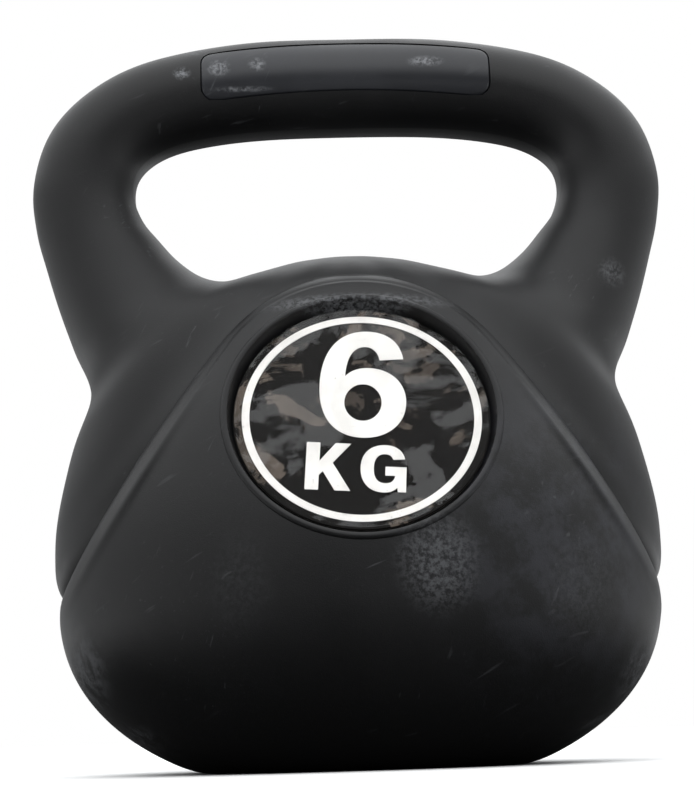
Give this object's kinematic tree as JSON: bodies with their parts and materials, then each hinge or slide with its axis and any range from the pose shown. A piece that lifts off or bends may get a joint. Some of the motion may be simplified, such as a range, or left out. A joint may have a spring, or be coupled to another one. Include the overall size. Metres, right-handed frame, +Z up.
{
  "type": "kettlebell",
  "caption": "Kettlebell with a blown plastic shell, cement fill, a flattened round belly, splayed horns, a straight grip and a round weight label in a shallow recess.",
  "frame": {"origin": "middle of the flat base, where the kettlebell stands", "axes": "+Z up through the middle of the grip, +X along the grip, -Y out of the front label"},
  "size_m": [0.1974, 0.132, 0.2285],
  "materials": {
    "shell": "black satin moulded polyethylene with light scuffs",
    "inlay": "smooth dark grey satin",
    "plug": "black satin",
    "cement": "set cement and sand mix",
    "pad": "matt foam tape",
    "label": "gloss black print",
    "print": "off-white print",
    "lens": "clear domed resin"
  },
  "bodies": {
    "root": {"shell": "shell", "ballast_fill": "cement", "fill_plug": "plug", "front_grip_inlay": "inlay", "back_grip_inlay": "inlay", "front_label_pad": "pad", "front_label_face": "label", "front_label_ring": "print", "front_label_figure_6": "print", "front_label_letter_k": "print", "front_label_letter_g": "print", "front_label_lens": "lens", "back_label_pad": "pad", "back_label_face": "label", "back_label_ring": "print", "back_label_figure_6": "print", "back_label_letter_k": "print", "back_label_letter_g": "print", "back_label_lens": "lens"}
  },
  "joints": []
}
